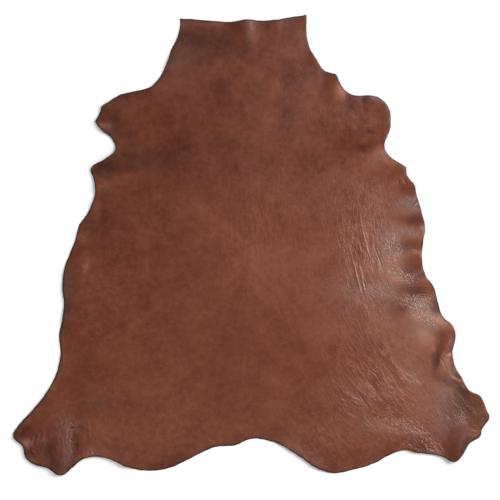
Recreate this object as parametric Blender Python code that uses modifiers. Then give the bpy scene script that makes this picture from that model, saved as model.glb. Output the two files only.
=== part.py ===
"""A whole leather hide, laid out flat with its grain side up: one cut sheet of uneven outline.

Units are metres, +Z is up and +Y points from the tail end to the neck. The origin lies under the
middle of the hide, on the plane that it rests on. Tables are in millimetres: across is X, along is Y.
"""

import math

import bpy
from mathutils import Vector
from mathutils.geometry import delaunay_2d_cdt, intersect_point_line
from mathutils.kdtree import KDTree

# ---- Driving dimensions, in metres ----

MM = 0.001
LEATHER_THICKNESS = 1.2 * MM
EDGE_STEP = 8.0 * MM
FOLDED_STEP = 10.5 * MM
FLAT_STEPS = 4
STEPS_PER_SPAN = 24
GRID_MARGIN = 0.7 * FOLDED_STEP
LEAST_LIFT = 0.15 * MM
LEAST_SPACING_SHARE = 0.9
LEAST_DISTANCE_SHARE = 0.93
TINY = 1e-9

# Leather: reddish brown, with a satin finish.
LEATHER_COLOUR = (0.175, 0.062, 0.036, 1.0)
LEATHER_ROUGHNESS = 0.48

# Rows of points that follow the cut edge inside it, so that its ripples have enough of them.
EDGE_ROWS = (
    # distance from the edge, spacing along the row, in mm
    (8, 9),
    (17, 11),
    (28, 13),
)

# ---- The cut edge, clockwise from the neck's left corner ----

OUTLINE = (
    # stretch, True where it starts at a sharp corner, points (across, along) in mm
    ("neck cut", True, (
        (-142, 453), (-82, 448), (-36, 446), (-8, 450), (26, 448), (56, 451), (84, 456))),
    ("right side of the neck", True, (
        (110, 460), (110, 428), (116, 396), (130, 371), (147, 348))),
    ("right shoulder", True, (
        (169, 341), (183, 314), (205, 299), (236, 299), (254, 295), (275, 274), (278, 234), (266, 200),
        (276, 178))),
    ("right side of the body", True, (
        (309, 155), (312, 137), (326, 119), (330, 102), (339, 68), (347, 38), (343, 5), (341, -30),
        (349, -63), (365, -85), (374, -118), (382, -143), (403, -164), (407, -188), (401, -214),
        (408, -243), (423, -270), (436, -291))),
    ("right hind leg", False, (
        (458, -302), (469, -326), (476, -346), (462, -366), (457, -383), (436, -397), (420, -422),
        (404, -433), (380, -422), (346, -416), (328, -414), (306, -409))),
    ("right half of the rump", False, (
        (278, -419), (244, -437), (200, -450), (162, -456), (132, -446), (99, -424), (62, -401),
        (26, -389))),
    ("left half of the rump", False, (
        (-4, -388), (-31, -400), (-68, -403), (-98, -414), (-134, -433), (-168, -447), (-208, -451),
        (-246, -444), (-279, -429), (-304, -423), (-334, -426), (-357, -445))),
    ("left hind leg", False, (
        (-375, -459), (-390, -457), (-404, -447), (-440, -435), (-452, -422), (-457, -402),
        (-476, -383), (-469, -366), (-437, -330), (-411, -298), (-392, -263), (-384, -240))),
    ("left side of the body", False, (
        (-381, -210), (-384, -182), (-377, -148), (-374, -116), (-377, -82), (-374, -50), (-362, -16),
        (-350, 14), (-344, 39), (-325, 66), (-312, 103), (-315, 133))),
    ("left armpit", False, (
        (-320, 152), (-310, 162), (-290, 172), (-271, 191), (-278, 212), (-300, 230))),
    ("left shoulder", True, (
        (-312, 247), (-303, 262), (-297, 277), (-282, 288))),
    ("left side of the neck", True, (
        (-262, 301), (-230, 308), (-202, 315), (-184, 333), (-169, 362), (-159, 392), (-147, 415),
        (-142, 440))),
)

# ---- Where the leather stands off the plane that it rests on ----

# Each fold is a soft ridge along a line. Its crest is at full height at the start and fades towards
# the end, or keeps its height where the last column says so. Left and right are as seen on the way
# from the start to the end.
FOLDS = (
    # name, start (across, along), end (across, along), distance from crest to the left foot, to the
    # right foot, height, in mm; True where the crest keeps its height
    ("neck, left", (-72, 456), (-78, 412), 20, 20, 1.4, False),
    ("neck, middle", (-10, 456), (-14, 380), 22, 34, 3.2, False),
    ("neck, right", (54, 458), (50, 410), 20, 20, 1.6, False),
    ("neck corner, left", (-150, 412), (-120, 396), 18, 18, 1.6, False),
    ("neck corner, right", (118, 448), (96, 420), 18, 18, 2.0, False),
    ("throat, right", (136, 376), (108, 352), 20, 20, 2.5, False),
    ("shoulder point, right", (176, 348), (160, 262), 22, 28, 5.5, False),
    ("foreleg pucker, first", (214, 304), (206, 272), 12, 14, 2.2, False),
    ("foreleg pucker, second", (240, 302), (232, 278), 12, 14, 2.6, False),
    ("foreleg pucker, third", (284, 232), (234, 230), 14, 14, 2.6, False),
    ("armpit above, right", (282, 214), (142, 194), 22, 30, 7.0, False),
    ("armpit below, right", (298, 160), (180, 164), 34, 32, 5.0, False),
    ("armpit pucker, upper", (316, 151), (280, 148), 11, 11, 3.0, False),
    ("armpit pucker, lower", (318, 136), (280, 133), 10, 10, 2.8, False),
    ("girth ripple", (332, 128), (258, 122), 28, 15, 6.5, False),
    ("belly ripple, first", (346, 64), (258, 58), 19, 32, 9.0, False),
    ("belly ripple, second", (352, 14), (264, 8), 20, 26, 6.5, False),
    ("belly ripple, third", (346, -22), (280, -26), 26, 14, 3.5, False),
    ("belly ripple, fourth", (366, -70), (268, -80), 24, 20, 8.0, False),
    ("flank ripple", (404, -170), (298, -128), 28, 36, 9.5, False),
    ("flank curl", (392, -198), (377, -250), 32, 20, 9.0, True),
    ("stifle ripple, upper", (424, -262), (386, -258), 12, 14, 3.6, False),
    ("stifle ripple, lower", (440, -286), (396, -276), 12, 14, 3.0, False),
    ("right shank", (408, -430), (436, -300), 30, 22, 8.5, False),
    ("right toe pucker, first", (474, -344), (438, -340), 14, 14, 1.4, False),
    ("right toe pucker, second", (468, -362), (434, -354), 10, 11, 2.4, False),
    ("right toe pucker, third", (461, -378), (430, -370), 10, 11, 2.4, False),
    ("right hem", (304, -424), (372, -434), 34, 34, 6.5, True),
    ("rump hem, right", (70, -412), (128, -452), 40, 40, 4.2, True),
    ("rump hem, left", (-336, -434), (-262, -440), 42, 42, 6.0, True),
    ("rump hem crest", (-330, -434), (-322, -396), 20, 16, 2.6, False),
    ("left hind leg crease, outer", (-414, -436), (-422, -372), 22, 16, 2.5, False),
    ("left hind leg crease, middle", (-379, -456), (-370, -358), 34, 20, 5.0, False),
    ("left hind leg crease, inner", (-334, -424), (-330, -338), 20, 13, 2.4, False),
    ("left toe hem", (-470, -392), (-392, -464), 34, 34, 3.5, True),
    ("left stifle hem", (-412, -296), (-452, -344), 28, 28, 2.5, True),
    ("left flank ripple", (-386, -152), (-344, -146), 14, 14, 2.0, False),
    ("left flank ripple, lower", (-394, -238), (-344, -226), 20, 20, 2.0, False),
    ("left belly hem", (-380, -60), (-379, -140), 30, 30, 2.5, True),
    ("left belly ridge", (-340, -30), (-342, -66), 22, 34, 3.2, True),
    ("left belly ripple", (-356, 16), (-306, 8), 20, 20, 2.0, False),
    ("left girth ripple", (-264, 54), (-236, 48), 20, 16, 2.4, True),
    ("left girth hem", (-318, 130), (-322, 80), 32, 32, 3.0, True),
    ("armpit below, left", (-312, 116), (-252, 120), 18, 18, 2.5, False),
    ("armpit above, left", (-320, 164), (-190, 190), 32, 20, 7.0, False),
    ("left armpit hem", (-304, 230), (-280, 184), 36, 36, 2.6, True),
    ("left shoulder tip", (-308, 238), (-262, 222), 20, 14, 2.4, False),
    ("left shoulder", (-304, 280), (-220, 266), 30, 30, 4.0, False),
    ("left throat", (-206, 320), (-158, 300), 22, 22, 3.0, False),
    ("left side of the neck", (-172, 366), (-132, 352), 28, 28, 3.0, False),
)


def curve_point(before, start, end, after, share):
    """The point at this share of the way from start to end, on a centripetal Catmull-Rom curve."""
    knots = [0.0]
    corners = (before, start, end, after)
    for first, second in zip(corners, corners[1:]):
        knots.append(knots[-1] + math.sqrt((second - first).length))
    at = knots[1] + (knots[2] - knots[1]) * share
    points = list(corners)
    for level in (1, 2):
        points = [
            points[i].lerp(points[i + 1], (at - knots[i]) / (knots[i + level] - knots[i]))
            for i in range(len(points) - 1)
        ]
    return points[0].lerp(points[1], share)


def runs_between_corners():
    """The outline's points in metres, one list for each run from a sharp corner to the next."""
    runs = []
    for _stretch, sharp, points in OUTLINE:
        if sharp:
            runs.append([])
        runs[-1].extend(Vector(point) * MM for point in points)
    return runs


def smooth_run(points):
    """A fine polyline through the points, without the last of them."""
    extended = [points[0] * 2 - points[1], *points, points[-1] * 2 - points[-2]]
    fine = []
    for i in range(len(points) - 1):
        around = extended[i : i + 4]
        fine.extend(curve_point(*around, step / STEPS_PER_SPAN) for step in range(STEPS_PER_SPAN))
    return fine


def evenly_spaced(polyline, step):
    """Points about one step apart along an open polyline, without its last point."""
    lengths = [0.0]
    for first, second in zip(polyline, polyline[1:]):
        lengths.append(lengths[-1] + (second - first).length)
    count = max(1, round(lengths[-1] / step))
    spaced = []
    segment = 0
    for i in range(count):
        wanted = lengths[-1] * i / count
        while lengths[segment + 1] < wanted:
            segment += 1
        share = (wanted - lengths[segment]) / (lengths[segment + 1] - lengths[segment])
        spaced.append(polyline[segment].lerp(polyline[segment + 1], share))
    return spaced


def cut_edge(step):
    """The closed outline of the hide as points about one step apart, with every corner kept."""
    runs = runs_between_corners()
    edge = []
    for run, following in zip(runs, runs[1:] + runs[:1]):
        corner = following[0]
        edge.extend(evenly_spaced(smooth_run([*run, corner]) + [corner], step))
    return edge


def is_inside(point, edge):
    inside = False
    for first, second in zip(edge, edge[1:] + edge[:1]):
        if (first.y > point.y) != (second.y > point.y):
            crossing = first.x + (point.y - first.y) / (second.y - first.y) * (second.x - first.x)
            inside = inside != (point.x < crossing)
    return inside


def tree_of(points):
    tree = KDTree(len(points))
    for i, point in enumerate(points):
        tree.insert((point.x, point.y, 0.0), i)
    tree.balance()
    return tree


def is_clear_of(tree, point, distance):
    return tree.find((point.x, point.y, 0.0))[2] >= distance


def edge_row(edge, distance, spacing):
    """Points at this distance inside the edge, left out where the edge bends back on itself."""
    row = []
    tree = tree_of(edge)
    count = len(edge)
    for i, point in enumerate(edge):
        along = (edge[(i + 1) % count] - edge[i - 1]).normalized()
        inward = Vector((along.y, -along.x))
        moved = point + inward * distance
        least_spacing = spacing * LEAST_SPACING_SHARE
        is_spaced = all((moved - other).length >= least_spacing for other in row[:1] + row[-2:])
        if is_spaced and is_clear_of(tree, moved, distance * LEAST_DISTANCE_SHARE):
            row.append(moved)
    return row


def fold_height(fold, point):
    """How far this fold lifts the leather at a point, in metres."""
    _name, start, end, left_foot, right_foot, height, keeps_height = fold
    start = Vector(start) * MM
    end = Vector(end) * MM
    share = min(max(intersect_point_line(point, start, end)[1], 0.0), 1.0)
    offset = point - start.lerp(end, share)
    leftward = (end - start).normalized().cross(offset) / max(offset.length, TINY)
    foot = (left_foot + right_foot + leftward * (left_foot - right_foot)) / 2
    away = offset.length / (foot * MM)
    if away >= 1.0:
        return 0.0
    crest = 1.0 if keeps_height else math.cos(share * math.pi / 2) ** 2
    return height * MM * crest * math.cos(away * math.pi / 2) ** 2


def lift(point):
    """Height of the underside above the plane that the hide rests on."""
    return sum(fold_height(fold, point) for fold in FOLDS)


def interior_points(edge, margin):
    """A triangular grid inside the edge rows, with only every fourth point where the leather is flat."""
    tree = tree_of(edge)
    low = Vector((min(point.x for point in edge), min(point.y for point in edge)))
    high = Vector((max(point.x for point in edge), max(point.y for point in edge)))
    row_height = FOLDED_STEP * math.sqrt(3) / 2
    found = []
    for row in range(round((high.y - low.y) / row_height)):
        first = -(row // 2)
        for column in range(first, first + round((high.x - low.x) / FOLDED_STEP)):
            point = low + Vector(((column + row / 2) * FOLDED_STEP, row * row_height))
            on_flat_grid = row % FLAT_STEPS == 0 and column % FLAT_STEPS == 0
            if not (on_flat_grid or lift(point) > LEAST_LIFT):
                continue
            if is_clear_of(tree, point, margin) and is_inside(point, edge):
                found.append(point)
    return found


def sheet_points():
    """The points of the sheet in plan: the closed edge first, then the rows and the grid inside it."""
    edge = cut_edge(EDGE_STEP)
    inside = []
    for distance, spacing in EDGE_ROWS:
        inside.extend(edge_row(edge, distance * MM, spacing * MM))
    innermost = EDGE_ROWS[-1][0] * MM
    inside.extend(interior_points(edge, innermost + GRID_MARGIN))
    return edge, inside


def leather_material():
    material = bpy.data.materials.new("leather")
    material.use_nodes = True
    surface = material.node_tree.nodes["Principled BSDF"]
    surface.inputs["Base Color"].default_value = LEATHER_COLOUR
    surface.inputs["Roughness"].default_value = LEATHER_ROUGHNESS
    surface.inputs["Metallic"].default_value = 0.0
    return material


def make_hide(collection):
    """The underside as an open surface, thickened upwards by a Solidify modifier."""
    edge, inside = sheet_points()
    corners = list(range(len(edge)))
    plan, _edges, faces, *_origins = delaunay_2d_cdt(edge + inside, [], [corners], 1, 1e-6)
    mesh = bpy.data.meshes.new("hide")
    mesh.from_pydata([(point.x, point.y, lift(point)) for point in plan], [], faces)
    mesh.shade_smooth()
    mesh.materials.append(leather_material())
    hide = bpy.data.objects.new("hide", mesh)
    collection.objects.link(hide)
    thickness = hide.modifiers.new("thickness", "SOLIDIFY")
    thickness.thickness = LEATHER_THICKNESS
    thickness.offset = 1.0
    return hide


def main():
    for old in list(bpy.data.objects):
        bpy.data.objects.remove(old, do_unlink=True)
    collection = bpy.data.collections.new("leather_hide")
    bpy.context.scene.collection.children.link(collection)
    make_hide(collection)


main()
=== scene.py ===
import math

import bmesh
import bpy
import numpy as np
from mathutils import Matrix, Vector
from mathutils.bvhtree import BVHTree
from mathutils.geometry import delaunay_2d_cdt
from mathutils.kdtree import KDTree


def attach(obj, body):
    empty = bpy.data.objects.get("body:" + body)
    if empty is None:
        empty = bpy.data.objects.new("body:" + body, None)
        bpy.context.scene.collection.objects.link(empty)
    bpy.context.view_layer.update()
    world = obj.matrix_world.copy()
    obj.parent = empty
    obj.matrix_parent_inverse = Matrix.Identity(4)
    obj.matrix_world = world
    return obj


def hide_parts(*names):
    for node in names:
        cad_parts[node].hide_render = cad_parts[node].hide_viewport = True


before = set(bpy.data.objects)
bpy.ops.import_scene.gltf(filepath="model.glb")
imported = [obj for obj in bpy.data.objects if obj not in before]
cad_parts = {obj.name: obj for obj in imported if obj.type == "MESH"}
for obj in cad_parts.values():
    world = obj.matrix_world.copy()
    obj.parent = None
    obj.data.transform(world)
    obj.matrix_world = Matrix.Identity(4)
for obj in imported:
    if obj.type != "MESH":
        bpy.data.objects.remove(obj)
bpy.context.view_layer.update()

# ---- Sizes, in metres ----

MM = 0.001
THICKNESS = 1.2 * MM

# How the node's underside is read
SAME_SKIN = math.radians(50)
FACES_UP = 0.9
WELD = 1e-6
HEIGHT_GRID = 2.5 * MM
HEIGHT_MARGIN = 8 * HEIGHT_GRID
HEIGHT_SMOOTHING = 4.0 * MM

# How closely the sheet's points lie: along the edge, inside it, and on the flesh side
EDGE_STEP = 2.4 * MM
EDGE_ROWS = (1.2 * MM, 2.8 * MM)
ROW_CLEARANCE = 0.93
FINE_STEP = 1.4 * MM
FLESH_STEP = 8.0 * MM
# Where the grain side's points lie closer than in the flat middle
EDGE_ZONE = 14 * MM
STANDS_OFF = 0.4 * MM
NEAR_SWELL = 12 * MM
NEAR_CREASE = 3.0 * MM
CURVE_STEP = 1.5 * MM
SLOPE_STEP = 1.0 * MM
TINY = 1e-12

# The cut edge, and the unevenness of a hand-trimmed skin: height, size of the lumps, seed
SHARP_TURN = math.radians(38)
RIM_BULGE = 0.35 * MM
EDGE_ROUNDING = 0.35 * MM
TRIMMING = ((0.5 * MM, 11 * MM, 1), (0.3 * MM, 4.5 * MM, 2))
GRAIN_WAVES = ((0.12 * MM, 23 * MM, 5), (0.06 * MM, 9 * MM, 6))


# ---- The CAD node's skins ----

def skin_of(mesh, upward):
    """The node's upper or lower skin: the faces reached from its middle round no corner."""
    facing = [face for face in mesh.faces if face.normal.z * upward > FACES_UP]
    start = min(facing, key=lambda face: face.calc_center_median().xy.length)
    # A dict, which keeps the faces in the same order on each run.
    found = {start: True}
    waiting = [start]
    while waiting:
        face = waiting.pop()
        for edge in face.edges:
            for other in edge.link_faces:
                if other not in found and face.normal.angle(other.normal) < SAME_SKIN:
                    found[other] = True
                    waiting.append(other)
    return found


def rim_of(skin):
    """The closed loop of points round a skin, anticlockwise from above."""
    following = {}
    for face in skin:
        for loop in face.loops:
            if any(other not in skin for other in loop.edge.link_faces):
                following[loop.vert] = loop.link_loop_next.vert
    vert = next(iter(following))
    rim = []
    while vert in following:
        rim.append(vert.co.copy())
        vert = following.pop(vert)
    area = sum(a.x * b.y - b.x * a.y for a, b in zip(rim, rim[1:] + rim[:1]))
    return rim if area > 0 else rim[::-1]


def read_node():
    """The plan outline of the hide's underside, and a tree that finds that underside's height."""
    mesh = bmesh.new()
    mesh.from_mesh(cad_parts["hide"].data)
    bmesh.ops.remove_doubles(mesh, verts=mesh.verts, dist=WELD)
    mesh.normal_update()
    skin = skin_of(mesh, upward=-1)
    rim = rim_of(skin)
    corners = [[vert.co for vert in face.verts] for face in skin]
    faces = [range(3 * i, 3 * i + 3) for i in range(len(corners))]
    tree = BVHTree.FromPolygons([corner for face in corners for corner in face], faces)
    mesh.free()
    return rim, tree


class HeightMap:
    """Smoothed heights of the node's underside, read at any place by interpolation."""

    def __init__(self, tree, low, high):
        self.low = np.array(low) - HEIGHT_MARGIN
        size = np.array(high) + HEIGHT_MARGIN - self.low
        self.shape = tuple(int(side / HEIGHT_GRID) + 2 for side in size)
        heights = np.full(self.shape, np.nan)
        down = Vector((0, 0, -1))
        for i in range(self.shape[0]):
            for j in range(self.shape[1]):
                x, y = self.low + np.array((i, j)) * HEIGHT_GRID
                hit = tree.ray_cast(Vector((x, y, 1.0)), down)[0]
                if hit:
                    heights[i, j] = hit.z
        self.heights = self.smoothed(self.filled(heights))

    def filled(self, heights):
        """Heights carried outwards past the edge, so that smoothing doesn't pull it down."""
        while np.isnan(heights).any():
            padded = np.pad(heights, 1, constant_values=np.nan)
            around = np.stack([
                padded[1 + di : padded.shape[0] - 1 + di, 1 + dj : padded.shape[1] - 1 + dj]
                for di in (-1, 0, 1) for dj in (-1, 0, 1)
            ])
            known = ~np.isnan(around)
            count = known.sum(axis=0)
            mean = np.where(known, around, 0.0).sum(axis=0) / np.maximum(count, 1)
            heights = np.where(np.isnan(heights) & (count > 0), mean, heights)
        return heights

    def smoothed(self, heights):
        """Heights averaged over a bell curve, along one axis and then the other."""
        reach = int(3 * HEIGHT_SMOOTHING / HEIGHT_GRID)
        away = np.arange(-reach, reach + 1) * HEIGHT_GRID / HEIGHT_SMOOTHING
        weights = np.exp(-(away ** 2) / 2)
        weights /= weights.sum()
        for axis in (0, 1):
            widths = [(reach, reach) if k == axis else (0, 0) for k in (0, 1)]
            padded = np.pad(heights, widths, mode="edge")
            heights = sum(
                weight * np.take(padded, range(k, k + heights.shape[axis]), axis=axis)
                for k, weight in enumerate(weights)
            )
        return heights

    def __call__(self, x, y):
        # Just short of the last row, so that each place has a row on both sides.
        u = np.clip((x - self.low[0]) / HEIGHT_GRID, 0, self.shape[0] - 1.001)
        v = np.clip((y - self.low[1]) / HEIGHT_GRID, 0, self.shape[1] - 1.001)
        i, j = u.astype(int), v.astype(int)
        u, v = u - i, v - j
        h = self.heights
        near = h[i, j] * (1 - u) + h[i + 1, j] * u
        far = h[i, j + 1] * (1 - u) + h[i + 1, j + 1] * u
        return near * (1 - v) + far * v


# ---- Noise ----

KNOTS = 64


def soft_noise(x, y, size, seed):
    """Smooth noise from -1 to 1 whose lumps are about size metres across, the same on each run."""
    knots = np.random.default_rng(seed).uniform(-1, 1, (KNOTS, KNOTS))
    u, v = x / size, y / size
    i, j = np.floor(u).astype(int), np.floor(v).astype(int)
    u, v = u - i, v - j
    u, v = u * u * (3 - 2 * u), v * v * (3 - 2 * v)
    left, right, near, far = i % KNOTS, (i + 1) % KNOTS, j % KNOTS, (j + 1) % KNOTS
    a, b, c, d = knots[left, near], knots[right, near], knots[left, far], knots[right, far]
    return (a * (1 - u) + b * u) * (1 - v) + (c * (1 - u) + d * u) * v


def layered(rows, x, y, base=0.0):
    """The sum of layers of soft noise, given as rows of (height, size of the lumps, seed)."""
    return sum((height * soft_noise(x, y, size, seed) for height, size, seed in rows), base)


# ---- The sheet ----

def smooth_edge(rim):
    """Points close together along the rim, on a smooth curve that keeps its sharp corners."""
    count = len(rim)
    flat = [point.xy for point in rim]

    def turn(i):
        return abs((flat[i] - flat[i - 1]).angle_signed(flat[(i + 1) % count] - flat[i]))

    sharp = [turn(i) > SHARP_TURN for i in range(count)]
    edge = []
    for i in range(count):
        start, end = flat[i], flat[(i + 1) % count]
        before = start * 2 - end if sharp[i] else flat[i - 1]
        after = end * 2 - start if sharp[(i + 1) % count] else flat[(i + 2) % count]
        steps = max(1, round((end - start).length / EDGE_STEP))
        for k in range(steps):
            t = k / steps
            edge.append((
                start * 2 + (end - before) * t + (before * 2 - start * 5 + end * 4 - after) * t ** 2
                + (start * 3 - before - end * 3 + after) * t ** 3
            ) / 2)
    return np.array(edge)


def ragged(edge):
    """The edge with the small unevenness of a hand-trimmed skin."""
    along = np.roll(edge, -1, axis=0) - np.roll(edge, 1, axis=0)
    along /= np.linalg.norm(along, axis=1)[:, None]
    outward = np.stack([along[:, 1], -along[:, 0]], axis=1)
    return edge + outward * layered(TRIMMING, *edge.T)[:, None], outward


def lattice(edge, step, level, margin):
    """A triangular lattice inside the edge; each level above 0 doubles the gaps between points."""
    low, high = edge.min(axis=0), edge.max(axis=0)
    row_height = step * math.sqrt(3) / 2
    rows = int((high[1] - low[1]) / row_height) + 1
    columns = int((high[0] - low[0]) / step) + 2
    row, column = np.meshgrid(np.arange(rows), np.arange(columns), indexing="ij")
    column = column - row // 2
    x = low[0] + (column + row / 2) * step
    y = low[1] + row * row_height
    every = 2 ** level(x, y)
    kept = (row % every == 0) & (column % every == 0)
    x, y = x[kept], y[kept]
    beside = is_near(edge, 3 * margin)(x, y)
    tree = tree_of(edge)
    clear = [not near or tree.find((px, py, 0))[2] > margin for px, py, near in zip(x, y, beside)]
    return np.stack([x, y], axis=1)[clear]


def tree_of(points):
    """A tree that finds the nearest of the points."""
    tree = KDTree(len(points))
    for i, (x, y) in enumerate(points):
        tree.insert((x, y, 0), i)
    tree.balance()
    return tree


def is_near(points, reach, cells=3):
    """A test for places within about this reach of any of the points, in cells of a grid."""
    cell = reach / cells
    margin = 2 * cells * cell
    low = points.min(axis=0) - margin
    shape = np.ceil((points.max(axis=0) + margin - low) / cell).astype(int) + 1
    marked = np.zeros(shape, bool)
    i, j = ((points - low) / cell).astype(int).T
    around = range(-cells, cells + 1)
    for di in around:
        for dj in around:
            if di * di + dj * dj <= cells * cells + 1:
                marked[i + di, j + dj] = True

    def test(x, y):
        i = np.clip(((x - low[0]) / cell).astype(int), 0, shape[0] - 1)
        j = np.clip(((y - low[1]) / cell).astype(int), 0, shape[1] - 1)
        return marked[i, j]

    return test


def distance_to_edge(x, y):
    """How far each place is from the edge, or EDGE_ZONE where it is further than that."""
    tree = tree_of(outline)
    beside = is_near(outline, EDGE_ZONE)(x, y)
    return np.array([
        min(tree.find((px, py, 0))[2], EDGE_ZONE) if near else EDGE_ZONE
        for px, py, near in zip(x, y, beside)])


def edge_rows(edge, outward):
    """Rows of points just inside the edge, for its rounded rim and its dark line."""
    tree = tree_of(edge)
    rows = []
    for distance in EDGE_ROWS:
        for x, y in edge - outward * distance:
            if tree.find((x, y, 0))[2] > ROW_CLEARANCE * distance:
                rows.append((x, y))
    return np.array(rows)


# The plan's triangles: only those inside its border, and points this close are one
KEEP_INSIDE = 1
SAME_POINT = 1e-7


def filled_plan(edge, inside):
    """Points and triangles that fill the closed edge; the first points are the edge's own."""
    points = [Vector(point) for point in np.concatenate([edge, inside])]
    border = [list(range(len(edge)))]
    plan, _edges, faces, *_origins = delaunay_2d_cdt(points, [], border, KEEP_INSIDE, SAME_POINT)
    plan, faces = np.array(plan), np.array(faces)
    used, faces = np.unique(faces, return_inverse=True)
    return plan[used], faces.reshape(-1, 3)


rim, underside = read_node()
outline = smooth_edge(rim)
outline, outward = ragged(outline)
node_height = HeightMap(underside, outline.min(axis=0), outline.max(axis=0))


# ---- Pleats and creases ----

# Pleats lift both skins, creases only the grain side. A negative height is a trough.
PLEATS = (
    # name, half width, height, points (across, along), all in mm
    ("flank curl, crease", 8, -0.5,
     ((366, -176), (367, -194), (369, -214), (371, -234), (374, -256))),
    ("flank curl, notch", 5, -0.6, ((408, -208), (400, -212), (392, -216))),
    ("flank curl, streak", 4, 0.9,
     ((397, -186), (392, -198), (383, -212), (377, -226), (376, -240))),
    ("flank curl, lobe", 8, 1.2, ((397, -216), (392, -230), (388, -246))),
    ("flank curl, crinkle, first", 3, 0.5, ((382, -216), (390, -222), (398, -220))),
    ("flank curl, crinkle, second", 3, -0.6, ((376, -224), (384, -236), (390, -252))),
    ("flank curl, crinkle, third", 2.5, 0.5, ((394, -232), (401, -240), (403, -252))),
    ("flank curl, crinkle, fourth", 3, 0.5, ((384, -250), (390, -242), (399, -238))),
    ("flank curl, lower lip", 3.5, 0.6, ((396, -250), (398, -262), (408, -269), (424, -276))),
    ("flank curl, lower crease", 4, -0.4, ((396, -268), (408, -277), (420, -284))),
    ("left leg pucker, first", 5, 1.2, ((-434, -376), (-438, -390), (-441, -406))),
    ("left leg pucker, second", 4, 1.0, ((-424, -374), (-428, -388), (-431, -404))),
    ("left leg pucker, third", 4, 0.8, ((-416, -376), (-418, -388), (-421, -398))),
    ("left leg fold, upper", 6, 1.3, ((-372, -362), (-369, -386), (-366, -420))),
    ("left toe fold", 6, 1.1, ((-470, -386), (-453, -379), (-434, -366))),
    ("left toe fold, lower", 4, -0.8, ((-452, -392), (-444, -404), (-440, -420))),
    ("left toe fold, lowest", 4, 0.8, ((-446, -408), (-436, -414), (-426, -428))),
    ("left leg fold, beside it", 4, 0.8, ((-362, -368), (-363, -394), (-362, -422))),
    ("left leg fold, inner", 4, 1.0, ((-326, -348), (-325, -366), (-324, -388))),
    ("left hem pucker, first", 4, 0.5, ((-322, -408), (-318, -418), (-316, -428))),
    ("left hem pucker, second", 4, 0.5, ((-310, -410), (-308, -420), (-306, -426))),
    ("left girth pucker", 5, 0.8, ((-306, 128), (-298, 124), (-290, 126))),
    ("right toe pucker, upper", 3.5, 0.5, ((440, -360), (448, -363), (458, -366))),
    ("right toe pucker, middle", 3, 0.5, ((438, -370), (446, -373), (456, -375))),
    ("right toe pucker, lower", 3, 0.45, ((434, -380), (442, -384), (450, -385))),
    ("right hem pucker, first", 3.5, 0.3, ((340, -398), (346, -404), (352, -410))),
    ("right hem pucker, second", 3.5, 0.4, ((356, -394), (363, -402), (370, -411))),
    ("right hem pucker, third", 3.5, 0.35, ((372, -398), (378, -406), (384, -414))),
)
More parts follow.
